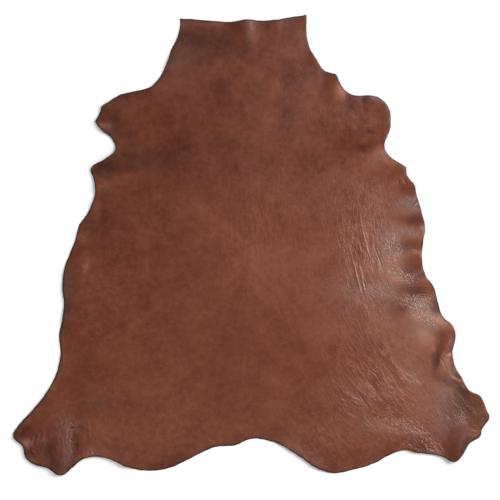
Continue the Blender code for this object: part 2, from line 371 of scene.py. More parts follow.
CREASES = (
    ("belly wrinkle, long", 2.6, 0.50,
     ((206, 30), (200, 8), (198, -4), (202, -26), (208, -50), (214, -74), (220, -100))),
    ("belly wrinkle, beside it", 2.4, 0.45, ((212, -34), (220, -54), (224, -78), (229, -106))),
    ("belly wrinkle, inner", 2.2, 0.45, ((220, 38), (226, 16), (232, -8), (238, -28))),
    ("belly wrinkle, loop", 2.0, -0.35,
     ((220, -116), (223, -128), (230, -132), (234, -124), (230, -114))),
    ("belly wrinkle, end, first", 2.0, -0.35, ((260, -40), (258, -54))),
    ("belly wrinkle, end, second", 2.0, -0.30, ((248, -34), (243, -52))),
    ("belly wrinkle, upper", 2.2, 0.35, ((216, 70), (218, 52), (222, 34), (226, 10))),
    ("belly wrinkle, upper, beside it", 2.0, 0.30, ((224, 54), (226, 40), (228, 28), (232, 12))),
    ("belly wrinkle, middle", 2.2, 0.35, ((226, 4), (232, -10), (237, -26))),
    ("belly wrinkle, bright", 2.6, -0.60,
     ((246, 12), (248, -4), (252, -18), (258, -34), (263, -52))),
    ("belly wrinkle, bright, beside it", 2.0, -0.35, ((251, -2), (256, -14), (262, -28))),
    ("belly wrinkle, short, first", 2.0, -0.40, ((173, 16), (177, 4), (182, -8))),
    ("belly wrinkle, short, second", 2.0, -0.35, ((185, 24), (182, 10), (178, -4))),
    ("belly wrinkle, short, third", 2.0, 0.30, ((192, 18), (194, 2), (199, -16))),
    ("belly wrinkle, top", 2.0, -0.25, ((204, 66), (202, 52), (198, 40))),
    ("belly wrinkle, lower", 2.2, 0.35, ((222, -116), (230, -126), (234, -138), (235, -154))),
    ("belly wrinkle, right, top", 2.0, -0.25, ((250, 62), (248, 46), (251, 30))),
    ("leg wrinkle, long", 2.4, 0.34,
     ((204, -260), (210, -280), (218, -294), (226, -304), (236, -320), (246, -336), (256, -348),
      (262, -352))),
    ("leg wrinkle, lower", 2.2, 0.34,
     ((176, -328), (192, -337), (206, -345), (220, -353), (234, -363), (250, -371), (264, -375))),
    ("leg wrinkle, lower, beside it", 2.0, -0.30, ((172, -336), (186, -343), (200, -349))),
    ("leg wrinkle, left, first", 2.0, -0.30, ((166, -276), (176, -288), (184, -300))),
    ("leg wrinkle, left, second", 2.0, 0.30, ((164, -300), (178, -308), (196, -316))),
    ("leg wrinkle, upper", 2.0, 0.30, ((220, -246), (232, -256), (244, -264))),
    ("belly wrinkle, foot", 2.6, 0.55,
     ((206, -38), (209, -56), (214, -76), (220, -96), (226, -114))),
    ("belly wrinkle, foot, beside it", 2.4, 0.50,
     ((215, -38), (219, -58), (224, -80), (230, -102))),
    ("girth glint", 2.6, 0.9, ((323, 78), (329, 83), (335, 89))),
    ("belly thread", 2.0, 0.5, ((306, -84), (334, -82), (364, -84))),
    ("belly thread, lower", 2.0, 0.4, ((318, -96), (342, -93), (368, -96))),
    ("belly thread, upper", 2.0, 0.15, ((308, -14), (322, -10), (336, -16))),
    ("armpit line, first", 2.2, -0.6, ((292, 133), (296, 121))),
    ("armpit line, second", 2.2, 0.6, ((299, 134), (303, 121))),
    ("armpit line, third", 2.2, -0.6, ((305, 133), (310, 121))),
    ("scar", 2.2, -0.35, ((146, -402), (152, -412))),
    ("scar, across", 2.0, -0.30, ((142, -410), (158, -404))),
)
# Groups of lesser wrinkles. Each group's lines lie along one direction, placed from a fixed seed.
WRINKLES = (
    # name, count, centre, reach round it, direction in degrees, its spread, shortest and longest,
    # half width, greatest height; lengths in mm
    ("belly", 50, (222, -20), (44, 90), -80, 9, (12, 46), 1.9, 0.29),
    ("belly, towards the edge", 26, (272, -40), (40, 90), -74, 12, (8, 26), 1.9, 0.22),
    ("middle, right", 18, (150, 20), (60, 110), -86, 8, (12, 34), 1.9, 0.14),
    ("middle", 22, (30, 20), (60, 110), -90, 7, (14, 44), 2.0, 0.13),
    ("thigh", 54, (225, -300), (70, 50), -42, 14, (10, 42), 2.0, 0.28),
    ("thigh, upper", 44, (300, -260), (60, 50), -48, 8, (12, 40), 2.0, 0.18),
    ("shank hem", 140, (306, -366), (66, 24), -36, 18, (5, 15), 1.7, 0.44),
    ("shank hem, point", 80, (352, -394), (38, 18), -40, 20, (4, 12), 1.7, 0.38),
    ("rump, right", 24, (130, -340), (70, 60), -20, 14, (10, 34), 1.9, 0.14),
    ("right leg", 34, (404, -330), (46, 46), -62, 14, (10, 36), 2.0, 0.28),
    ("left leg", 46, (-385, -390), (54, 45), -84, 14, (10, 36), 2.0, 0.31),
    ("left flank", 22, (-340, -60), (24, 120), -88, 12, (8, 28), 1.9, 0.18),
    ("shoulder", 14, (170, 250), (50, 40), -88, 10, (10, 30), 1.9, 0.07),
    ("left leg, fine", 30, (-370, -400), (16, 50), -88, 10, (10, 40), 1.8, 0.30),
)
# Wider and softer, in the same columns.
SWELLS = (
    ("thigh", 18, (262, -280), (90, 80), -46, 8, (50, 120), 10.0, 0.55),
    ("belly", 10, (240, -10), (50, 90), -80, 8, (40, 100), 9.0, 0.45),
    ("left leg", 10, (-395, -395), (40, 40), -86, 12, (20, 60), 6.0, 0.50),
    ("right leg", 8, (410, -345), (40, 40), -70, 14, (20, 60), 9.0, 0.50),
)


# How lines vary: their height along them, how they fade at the ends, scatter, bend and differ
LINE_UNEVEN = 0.45
LINE_LUMPS = 9
LINE_FADE = 0.7
LINE_ENDS = 0.02
SCATTER = 0.5
BEND = 0.12
LEAST_SHARE = 0.35
# Seeds, from these upwards, one for each line or group
WRINKLE_SEED, SWELL_SEED, GROUP_SEED, PLEAT_SEED, CREASE_SEED = 100, 150, 200, 300, 400


def curve_through(points):
    """Points close together, in metres, on a smooth curve through the given ones."""
    points = np.array(points, float) * MM
    ends = np.array([2 * points[0] - points[1], *points, 2 * points[-1] - points[-2]])
    curve = []
    for a, b, c, d in zip(ends, ends[1:], ends[2:], ends[3:]):
        t = np.arange(0, 1, CURVE_STEP / max(np.linalg.norm(c - b), CURVE_STEP))[:, None]
        bend = (2 * a - 5 * b + 4 * c - d) * t ** 2 + (3 * b - a - 3 * c + d) * t ** 3
        curve.append(b + ((c - a) * t + bend) / 2)
    return np.concatenate([*curve, points[-1:]])


class Line:
    """A ridge or trough along a curve, fading at both ends and uneven between them."""

    def __init__(self, points, half_width, height, seed):
        self.points = points
        self.half_width = half_width * MM
        share = np.linspace(0, 1, len(points))
        uneven = soft_noise(share * LINE_LUMPS, np.full(len(points), 0.5), 1.0, seed)
        fade = np.sin(np.pi * np.clip(share, LINE_ENDS, 1 - LINE_ENDS)) ** LINE_FADE
        self.heights = height * MM * fade * (1 + LINE_UNEVEN * uneven)
        self.low = points.min(axis=0) - self.half_width
        self.high = points.max(axis=0) + self.half_width

    def near(self, x, y):
        """Which of the places are in the line's bounding box."""
        return np.flatnonzero(
            (x > self.low[0]) & (x < self.high[0]) & (y > self.low[1]) & (y < self.high[1]))

    def distance(self, x, y):
        """For each place, how far it is from the curve, and the height of the line there."""
        start, along = self.points[:-1], np.diff(self.points, axis=0)
        length = np.maximum((along ** 2).sum(axis=1), TINY)
        dx, dy = x[:, None] - start[:, 0], y[:, None] - start[:, 1]
        t = np.clip((dx * along[:, 0] + dy * along[:, 1]) / length, 0, 1)
        squared = (dx - t * along[:, 0]) ** 2 + (dy - t * along[:, 1]) ** 2
        nearest = squared.argmin(axis=1)
        row = np.arange(len(x))
        t = t[row, nearest]
        height = self.heights[nearest] * (1 - t) + self.heights[nearest + 1] * t
        return np.sqrt(squared[row, nearest]), height


def relief_of(lines, x, y):
    """The summed height of the lines at each place."""
    total = np.zeros(x.shape)
    for line in lines:
        at = line.near(x, y)
        if len(at):
            away, height = line.distance(x[at], y[at])
            total[at] += height * np.cos(np.pi / 2 * np.minimum(away / line.half_width, 1)) ** 2
    return total


def lines_of(table, seed):
    """The lines of a table's groups, scattered round each group's centre."""
    lines = []
    for index, row in enumerate(table):
        _name, count, centre, reach, direction, spread, lengths, half_width, height = row
        draw = np.random.default_rng(seed + index)
        for k in range(count):
            middle = np.array(centre) + draw.normal(0, SCATTER, 2) * reach
            angle = math.radians(direction + draw.normal(0, spread))
            bend = draw.normal(0, BEND)
            length = draw.uniform(*lengths)
            size = height * draw.uniform(LEAST_SHARE, 1.0) * draw.choice((-1, 1))
            way = np.array((math.cos(angle), math.sin(angle)))
            side = np.array((-way[1], way[0]))
            points = [middle + way * length * t + side * length * bend * (1 - 4 * t * t)
                      for t in (-0.5, -0.25, 0.0, 0.25, 0.5)]
            lines.append(Line(curve_through(points), half_width, size, GROUP_SEED + k))
    return lines


def named_lines(table, seed):
    """The lines of a table that gives each one's points."""
    return [Line(curve_through(points), half_width, height, seed + k)
            for k, (_name, half_width, height, points) in enumerate(table)]


pleats = named_lines(PLEATS, PLEAT_SEED)
creases = named_lines(CREASES, CREASE_SEED) + lines_of(WRINKLES, WRINKLE_SEED)
swells = lines_of(SWELLS, SWELL_SEED)


def lift(x, y):
    """Height of the flesh side above the floor."""
    return np.maximum(node_height(x, y) + relief_of(pleats, x, y), 0)


def relief(x, y):
    """How far the grain side stands above an even thickness."""
    return layered(GRAIN_WAVES, x, y) + relief_of(creases, x, y) + relief_of(swells, x, y)


def thinning(x, y):
    """The lattice's level: 0 on creases and pleats, 1 on folds, swells and by the edge, else 2."""
    level = np.full(x.shape, 2)
    soft = np.concatenate([line.points for line in swells])
    raised = node_height(x, y) > STANDS_OFF
    level[raised | is_near(outline, EDGE_ZONE)(x, y) | is_near(soft, NEAR_SWELL)(x, y)] = 1
    sharp = np.concatenate([line.points for line in creases + pleats])
    level[is_near(sharp, NEAR_CREASE)(x, y)] = 0
    return level


def steepness(x, y):
    """How many times longer the leather is than its plan, where it slopes."""
    dx = (lift(x + SLOPE_STEP, y) - lift(x - SLOPE_STEP, y)) / (2 * SLOPE_STEP)
    dy = (lift(x, y + SLOPE_STEP) - lift(x, y - SLOPE_STEP)) / (2 * SLOPE_STEP)
    return np.sqrt(1 + dx ** 2 + dy ** 2)


def upward(faces, plan):
    """The triangles that have an area, each turned anticlockwise from above."""
    a, b, c = (plan[faces[:, k]] for k in range(3))
    area = (b[:, 0] - a[:, 0]) * (c[:, 1] - a[:, 1]) - (b[:, 1] - a[:, 1]) * (c[:, 0] - a[:, 0])
    real = np.abs(area) > TINY
    faces, area = faces[real], area[real]
    return np.where((area > 0)[:, None], faces, faces[:, ::-1])


def make_sheet():
    """The closed sheet: grain side, flesh side and a rounded rim between them."""
    fine = lattice(outline, FINE_STEP, thinning, EDGE_ROWS[-1] + FINE_STEP)
    fine = np.concatenate([edge_rows(outline, outward), fine])
    coarse = lattice(outline, FLESH_STEP, lambda x, y: np.zeros(x.shape, int), FLESH_STEP / 2)
    top, top_faces = filled_plan(outline, fine)
    bottom, bottom_faces = filled_plan(outline, coarse)
    count = len(outline)
    x, y = top.T
    away = distance_to_edge(x, y)
    rounding = EDGE_ROUNDING * np.clip(1 - away / EDGE_ROWS[-1], 0, 1) ** 2
    top_z = lift(x, y) + THICKNESS * steepness(x, y) + relief(x, y) - rounding
    u, v = bottom.T
    bottom_z = lift(u, v)
    middle_z = (top_z[:count] + bottom_z[:count]) / 2
    top_points = np.column_stack([top, top_z])
    bottom_points = np.column_stack([bottom, bottom_z])
    middle_points = np.column_stack([outline + outward * RIM_BULGE, middle_z])
    points = np.concatenate([top_points, bottom_points, middle_points])
    bottom_first = len(top)
    middle_first = bottom_first + len(bottom)
    top_faces = upward(top_faces, top)
    bottom_faces = upward(bottom_faces, bottom)[:, ::-1] + bottom_first
    i = np.arange(count)
    j = (i + 1) % count
    rims = []
    for upper, lower in ((0, middle_first), (middle_first, bottom_first)):
        rims.append(np.column_stack([upper + i, lower + i, lower + j]))
        rims.append(np.column_stack([upper + i, lower + j, upper + j]))
    faces = np.concatenate([top_faces, bottom_faces, *rims])
    slots = np.concatenate([
        np.zeros(len(top_faces), int), np.ones(len(bottom_faces), int), np.full(4 * count, 2)])
    mesh = bpy.data.meshes.new("hide_sheet")
    mesh.from_pydata(points.tolist(), [], faces.tolist())
    mesh.polygons.foreach_set("material_index", slots)
    mesh.shade_smooth()
    sheet = bpy.data.objects.new("hide_sheet", mesh)
    bpy.context.scene.collection.objects.link(sheet)
    return sheet


sheet = make_sheet()

# ---- Materials ----

class Nodes:
    """A new material's node tree, with a short way to add a node and feed its sockets."""

    def __init__(self, name):
        self.material = bpy.data.materials.new(name)
        self.material.use_nodes = True
        self.tree = self.material.node_tree
        self.surface = self.tree.nodes["Principled BSDF"]

    def feed(self, socket, value):
        if isinstance(value, bpy.types.NodeSocket):
            self.tree.links.new(value, socket)
        else:
            socket.default_value = value

    def shade(self, **values):
        """Feed the surface's own sockets, given by name."""
        for name, value in values.items():
            self.feed(self.surface.inputs[name.replace("_", " ")], value)

    def add(self, kind, *values, output=0, **settings):
        """A new node's output; values feed its sockets in order, settings go by name."""
        node = self.tree.nodes.new("ShaderNode" + kind)
        for key, value in settings.items():
            if hasattr(node, key):
                setattr(node, key, value)
            else:
                self.feed(node.inputs[key.replace("_", " ")], value)
        for socket, value in zip(node.inputs, values):
            if value is not None:
                self.feed(socket, value)
        return node.outputs[output]

    def math(self, operation, a, b=0.0, c=0.0):
        """A Math node's output; c is for operations of three values."""
        return self.add("Math", a, b, c, operation=operation)

    def weighted(self, *pairs):
        """The sum of value times weight over the pairs."""
        total = 0.0
        for value, weight in pairs:
            total = self.math("MULTIPLY_ADD", value, weight, total)
        return total

    def attribute(self, name, output=2):
        """What is stored on the mesh: output 1 is a vector, 2 a single value."""
        return self.add("Attribute", attribute_name=name, attribute_type="GEOMETRY", output=output)

    def noise(self, at, size, detail, roughness=0.5):
        """Noise with lumps of about this size in metres, from -0.5 to 0.5."""
        value = self.add("TexNoise", Vector=at, Scale=0.5 / size, Detail=detail,
                         Roughness=roughness)
        return self.math("SUBTRACT", value, 0.5)

    def clamp(self, value, low, high):
        return self.math("MINIMUM", self.math("MAXIMUM", value, low), high)

    def off_middle(self, value, span):
        """How far a noise from 0 to 1 is from its middle, up to span."""
        away = self.math("ABSOLUTE", self.math("SUBTRACT", value, 0.5))
        return self.math("MINIMUM", away, span)

    def mix(self, factor, first, second):
        node = self.tree.nodes.new("ShaderNodeMix")
        node.data_type = "RGBA"
        for name, value in (("Factor_Float", factor), ("A_Color", first), ("B_Color", second)):
            socket = next(item for item in node.inputs if item.identifier == name)
            self.feed(socket, value)
        return next(item for item in node.outputs if item.identifier == "Result_Color")

    def ramp(self, factor, stops):
        """Colours that run into each other between the stops."""
        node = self.tree.nodes.new("ShaderNodeValToRGB")
        self.feed(node.inputs[0], factor)
        elements = node.color_ramp.elements
        while len(elements) < len(stops):
            elements.new(0.5)
        for element, (place, colour) in zip(elements, stops):
            element.position = place
            element.color = (*colour, 1.0)
        return node.outputs[0]


# Layers of noise in the dye: size of the lumps in metres, detail, roughness
CLOUD = (0.070, 3.0)
BLOTCH = (0.022, 4.0, 0.6)
MOTTLE = (0.006, 4.0, 0.6)
SPECK = (0.0012, 2.0, 0.6)
RUST_PLACES = (0.045, 3.0)
# How much each layer adds to the tone, and to the roughness above the grain's own
CLOUD_TONE, BLOTCH_TONE, MOTTLE_TONE, SPECK_TONE, VEIN_TONE = 0.40, 0.45, 0.36, 0.22, 0.3
GRAIN_ROUGHNESS = 0.36
CLOUD_ROUGH, BLOTCH_ROUGH, MOTTLE_ROUGH, EDGE_ROUGH = 0.12, 0.15, 0.25, 0.3
# The dye from its deepest to its palest, and what lies over it: rust, a painted sheen, painted
# glints on the crackle's crests and a dark line along the edge
TONES = (
    (0.0, (0.024, 0.0075, 0.0035)), (0.25, (0.058, 0.0135, 0.0055)), (0.5, (0.116, 0.028, 0.0115)),
    (0.75, (0.185, 0.056, 0.026)), (1.0, (0.260, 0.096, 0.052)),
)
RUST = (0.190, 0.050, 0.020, 1.0)
RUST_COVER = 1.2
# The painted sheen's grey
PAINTED_SHEEN = (0.220, 0.155, 0.130, 1.0)
# The painted glint on the crackle's crests
PAINTED_GLINT = (0.330, 0.215, 0.175, 1.0)
PAINTED_GLINT_COVER = 0.32
# The dark line along the edge
RIM_LINE_COLOUR = (0.022, 0.010, 0.007, 1.0)
# How wide the ridges are, as a share of the noise that they wind through
CREST_SPAN, VEIN_SPAN = 0.10, 0.05
VEIN_TOP = 0.8
# Scales of the crackle, its bends and the pores, for one metre
CRACKLE_SCALE, BEND_SCALE, PORE_SCALE = 170.0, 160.0, 620.0
CRACKLE_BEND = 3.0 * MM
# Heights of the grain's relief
PORE_HEIGHT = 0.09 * MM
CREST_HEIGHT = 0.75 * MM
VEIN_HEIGHT = 3.0 * MM
MOTTLE_HEIGHT = 0.35 * MM


def grain_material():
    """The dyed, softly polished grain side, with painted shade, painted light, a painted sheen and
    painted glints in its colour.
    """
    nodes = Nodes("grain")
    at = nodes.add("TexCoord", output=3)
    cloud = nodes.noise(at, *CLOUD)
    blotch = nodes.noise(at, *BLOTCH)
    mottle = nodes.noise(at, *MOTTLE)
    speck = nodes.noise(at, *SPECK)
    fine = nodes.weighted((mottle, MOTTLE_TONE), (speck, SPECK_TONE))
    # Veins, along the skin's stretch.
    lines = nodes.add("TexNoise", Vector=nodes.attribute("flow", output=1), Scale=1.0, Detail=3.0,
                      Roughness=0.6)
    lines = nodes.off_middle(lines, VEIN_SPAN)
    veins = nodes.math("MULTIPLY_ADD", lines, -1 / VEIN_SPAN, VEIN_TOP)
    veins = nodes.math("MULTIPLY", veins, nodes.attribute("lines"))
    tone = nodes.weighted(
        (nodes.attribute("tone"), 1.0), (cloud, CLOUD_TONE), (blotch, BLOTCH_TONE),
        (fine, nodes.attribute("mottled")), (veins, VEIN_TONE))
    colour = nodes.ramp(nodes.math("MULTIPLY_ADD", tone, 0.5, 0.5), TONES)
    rust = nodes.weighted(
        (nodes.noise(at, *RUST_PLACES), RUST_COVER), (nodes.attribute("warmth"), 1.0))
    colour = nodes.mix(nodes.math("MAXIMUM", rust, 0.0), colour, RUST)
    # Crackle, where the skin is loose: crests that wind between small hollows, with a painted glint
    # on top.
    wobble = nodes.add("VectorMath", nodes.add("TexNoise", Vector=at, Scale=BEND_SCALE, output=1),
                       (CRACKLE_BEND,) * 3, at, operation="MULTIPLY_ADD")
    crests = nodes.add("TexNoise", Vector=wobble, Scale=CRACKLE_SCALE, Detail=1.5)
    crests = nodes.off_middle(crests, CREST_SPAN)
    crests = nodes.math("MULTIPLY_ADD", crests, -1 / CREST_SPAN, 1.0)
    crests = nodes.math("MULTIPLY", crests, nodes.attribute("pebble"))
    # Painted sheen: the greyish veil of the light's reflection, laid into the colour
    colour = nodes.mix(nodes.attribute("painted_sheen"), colour, PAINTED_SHEEN)
    # Painted glints: the crests' highlights, laid into the colour as a paler tan
    colour = nodes.mix(nodes.math("MULTIPLY", crests, PAINTED_GLINT_COVER), colour, PAINTED_GLINT)
    # A dark line laid along the edge of the grain side
    colour = nodes.mix(nodes.attribute("edge"), colour, RIM_LINE_COLOUR)
    rough = nodes.weighted(
        (cloud, CLOUD_ROUGH), (blotch, BLOTCH_ROUGH), (mottle, MOTTLE_ROUGH),
        (nodes.attribute("matt"), 1.0), (nodes.attribute("edge"), EDGE_ROUGH))
    nodes.shade(Base_Color=colour, Roughness=nodes.math("ADD", rough, GRAIN_ROUGHNESS))
    pores = nodes.add("TexVoronoi", Vector=at, Scale=PORE_SCALE, feature="SMOOTH_F1")
    lines = nodes.math("MULTIPLY", lines, nodes.attribute("lines"))
    height = nodes.weighted(
        (pores, PORE_HEIGHT), (crests, CREST_HEIGHT), (lines, VEIN_HEIGHT), (mottle, MOTTLE_HEIGHT))
    nodes.shade(Normal=nodes.add("Bump", Strength=1.0, Distance=1.0, Height=height),
                Specular_IOR_Level=0.5)
    return nodes.material


# The flesh side: layers of noise, and the darkest and palest suede
SUEDE_CLOUD, SUEDE_SPECK, NAP = (0.05, 4.0), (0.0015, 3.0), (0.0009, 4.0, 0.7)
SUEDE_TONES = ((0.0, (0.10, 0.045, 0.026)), (1.0, (0.30, 0.165, 0.105)))
NAP_HEIGHT = 0.4 * MM
# The cut edge
FIBRE = (0.0012, 4.0, 0.7)
FIBRE_TONES = ((0.2, (0.02, 0.010, 0.007)), (0.9, (0.09, 0.04, 0.025)))


def suede_material():
    """The napped flesh side."""
    nodes = Nodes("flesh")
    at = nodes.add("TexCoord", output=3)
    tone = nodes.weighted(
        (nodes.noise(at, *SUEDE_CLOUD), 0.5), (nodes.noise(at, *SUEDE_SPECK), 0.7))
    colour = nodes.ramp(nodes.math("ADD", tone, 0.5), SUEDE_TONES)
    nodes.shade(Base_Color=colour, Roughness=0.95, Sheen_Weight=0.3)
    nap = nodes.noise(at, *NAP)
    nodes.shade(Normal=nodes.add("Bump", Strength=0.8, Distance=NAP_HEIGHT, Height=nap))
    return nodes.material


def edge_material():
    """The cut edge, dark with dye."""
    nodes = Nodes("cut_edge")
    at = nodes.add("TexCoord", output=3)
    colour = nodes.ramp(nodes.math("ADD", nodes.noise(at, *FIBRE), 0.5), FIBRE_TONES)
    nodes.shade(Base_Color=colour, Roughness=0.9, Specular_IOR_Level=0.2)
    return nodes.material


# ---- What differs from place to place ----

# Soft oval patches, by what they change. Each row holds the centre across and along and the radius
# across and along, in mm, the amount at the centre and, where the oval is turned, the degrees.
PATCHES = {}
# How dark (below 0) or pale the surface is, with soft borders: partly the dye's own patches, partly
# painted shade in folds and hollows and painted light on lit slopes
PATCHES["tone"] = (
    (-60, 410, 60, 45, -0.25), (-26, 408, 12, 40, -0.35), (-134, 414, 28, 13, -0.35),
    (-158, 370, 14, 14, -0.5), (-136, 344, 20, 12, -0.3), (30, 438, 8, 8, -0.3),
    (-18, 366, 14, 12, 0.3), (7, 404, 7, 34, 0.25), (-100, 441, 24, 5, 0.25),
    (100, 420, 10, 20, 0.2), (-276, 162, 48, 15, -0.75, 20), (-262, 168, 66, 24, -0.35, 8),
    (-240, 142, 26, 8, 0.2, 12), (-200, 166, 44, 18, -0.2), (-292, 240, 18, 5, 0.3),
    (0, 160, 50, 24, -0.12), (-196, 150, 50, 30, -0.35), (-170, 118, 40, 24, -0.15),
    (-278, 260, 30, 50, -0.2), (-284, 226, 22, 14, -0.25), (-250, 216, 16, 12, -0.15),
    (-314, 157, 12, 9, 0.65), (-254, 158, 20, 10, -0.6), (-290, 138, 16, 9, -0.3),
    (-194, 154, 14, 12, -0.2), (-158, 38, 26, 20, -0.2), (-410, -388, 12, 10, 0.2),
    (58, -276, 24, 16, 0.2), (140, 278, 16, 14, -0.2), (-224, 165, 22, 15, -0.5),
    (-296, 60, 24, 26, -0.12), (-328, -14, 14, 22, -0.25), (-369, -120, 9, 16, -0.35),
    (-174, -440, 28, 9, -0.4), (-346, -430, 8, 12, 0.3), (-436, -432, 12, 10, 0.25),
    (-146, -424, 26, 16, -0.3), (-376, -450, 14, 10, -0.3), (-396, -276, 10, 16, 0.25),
    (-374, -154, 9, 14, -0.25), (60, -384, 26, 22, -0.15), (-142, 262, 16, 14, 0.25),
    (48, 320, 26, 50, 0.1), (36, 210, 26, 20, 0.15), (-130, 226, 26, 50, -0.3),
    (-154, 282, 30, 26, -0.2), (-80, 200, 40, 90, -0.12), (-220, 40, 110, 90, -0.15),
    (-340, -250, 30, 50, -0.2), (-390, -400, 80, 50, -0.2), (30, 0, 110, 120, 0.15),
    (300, 60, 90, 160, 0.25), (330, -240, 120, 160, 0.2, 30), (0, 310, 420, 190, -0.27),
    (-120, -370, 260, 120, 0.12), (416, -360, 60, 60, -0.15), (321, 52, 26, 8, -0.3),
    (318, 0, 22, 8, -0.2), (330, -90, 32, 12, -0.4), (312, 112, 22, 12, -0.3),
    (440, -322, 30, 34, -0.35), (446, -376, 14, 12, 0.15), (412, -396, 16, 34, -0.35, -10),
    (362, -246, 7, 14, 0.2), (402, -202, 5, 7, -0.5), (388, -232, 8, 12, 0.25),
    (400, -219, 4, 5, 0.4), (409, -242, 4, 18, -0.7, 15), (384, -258, 12, 12, -0.25),
    (350, -176, 24, 26, 0.75), (354, -139, 12, 8, -0.35), (374, -154, 18, 12, 0.25, -30),
    (240, 246, 44, 44, -0.08), (232, 197, 34, 8, -0.3, 5), (256, 176, 26, 16, 0.2),
    (260, 194, 12, 9, 0.55), (234, 154, 14, 12, 0.15), (304, 150, 14, 10, -0.25),
    (312, 126, 12, 8, -0.2), (336, 62, 16, 12, -0.3), (338, 0, 12, 7, 0.25), (356, -88, 12, 8, 0.4),
    (190, 16, 12, 24, 0.2), (288, -18, 12, 14, 0.2), (320, -290, 18, 34, 0.2, -20),
    (244, -188, 18, 12, -0.25), (194, -178, 18, 14, 0.25), (246, -312, 16, 16, 0.25),
    (292, 84, 14, 12, -0.25), (264, 212, 16, 12, -0.35), (466, -348, 10, 18, -0.25),
    (212, -278, 16, 16, 0.25), (172, 294, 10, 16, 0.25), (-24, -390, 28, 14, -0.15),
    (226, 292, 12, 5, -0.4, -10), (242, 226, 10, 6, -0.3, -15), (182, 308, 10, 14, 0.4),
    (150, 175, 80, 40, -0.06), (322, -40, 18, 50, -0.2), (300, -128, 14, 8, -0.2),
    (420, -290, 12, 10, -0.4, -30), (414, -424, 16, 16, -0.45), (426, -400, 10, 14, -0.3),
    (338, -410, 26, 8, -0.35, -5), (318, -362, 20, 10, 0.2, -20), (388, -308, 16, 16, -0.35),
    (420, -310, 16, 16, -0.25), (390, -348, 14, 12, -0.25), (336, -392, 34, 10, -0.2, -10),
    (238, -208, 26, 20, -0.15), (120, -150, 36, 24, 0.12), (206, -400, 50, 24, 0.10),
    (-286, -370, 34, 34, 0.15), (-342, -350, 12, 20, -0.12), (230, 160, 24, 24, 0.15),
    (318, 50, 24, 80, -0.12), (266, -52, 40, 14, 0.25), (300, -124, 22, 14, -0.2),
    (288, -210, 90, 18, 0.15, -54), (262, -362, 44, 14, 0.25, -15), (-382, -440, 30, 24, -0.4),
    (-310, -380, 24, 40, 0.12), (-312, -316, 24, 20, -0.15), (-22, -294, 50, 26, -0.12),
    (-352, -80, 22, 40, -0.1), (-458, -375, 22, 8, -0.35, 38), (-447, -396, 10, 7, 0.7),
    (-438, -416, 12, 10, -0.25), (-405, -408, 9, 20, -0.35), (-350, -404, 7, 24, -0.35),
    (-362, -70, 14, 30, -0.25), (-327, -38, 7, 20, 0.25, -12), (270, 268, 18, 20, -0.2),
    (294, -66, 14, 9, 0.45), (318, -78, 14, 6, -0.3, -10), (310, -50, 12, 8, -0.45, -10),
    (290, -70, 12, 8, 0.3), (-305, 62, 34, 60, -0.2), (-365, -128, 10, 28, -0.2),
    (422, -400, 12, 12, -0.2), (-16, 418, 14, 14, -0.25), (-140, 324, 16, 14, -0.2),
    (236, -350, 20, 14, -0.22), (144, -184, 24, 30, 0.2), (164, -450, 16, 10, -0.25),
    (-248, -434, 16, 12, -0.22), (-106, 398, 20, 16, -0.18), (292, -316, 14, 10, -0.25),
    (210, -86, 18, 12, -0.25), (326, 88, 14, 10, -0.25), (332, -100, 16, 5, -0.45),
    (302, -6, 8, 12, -0.35), (286, -20, 12, 10, 0.15), (264, -56, 10, 14, 0.25),
    (332, -142, 18, 10, 0.8),
)
# The same, with firmer borders: painted shade and painted light round the curled flank's crease,
# notch and lip, and by the flank's edge above it
PATCHES["tone, firm"] = (
    (368, -231, 8, 20, -0.5), (386, -186, 18, 24, -0.22, -20), (395, -209, 12, 8, -0.8, 20),
    (414, -260, 8, 5, -0.8, -35), (411, -268, 15, 3.5, 0.25, -25), (400, -277, 17, 8, -0.75, -25),
    (368, -124, 9, 16, -0.6, 10),
)
# How much rust shows in the brown
PATCHES["warmth"] = (
    (48, 316, 26, 50, 0.2), (-24, 392, 14, 30, 0.25), (-250, 120, 90, 50, 0.15),
    (-272, 168, 40, 14, 0.15, 10), (20, 230, 170, 90, 0.1), (0, 350, 300, 150, 0.05),
    (367, -228, 9, 24, 0.3), (388, -190, 18, 26, 0.35), (393, -208, 14, 10, 0.25, 20),
    (402, -275, 18, 8, 0.35, -25), (188, 300, 16, 14, 0.35), (180, 314, 10, 10, 0.6),
    (280, 166, 14, 8, 0.5, -30), (385, -188, 20, 20, 0.15), (396, -240, 14, 18, 0.3),
    (330, -408, 50, 12, 0.3, -5), (270, 262, 36, 34, 0.2),
)
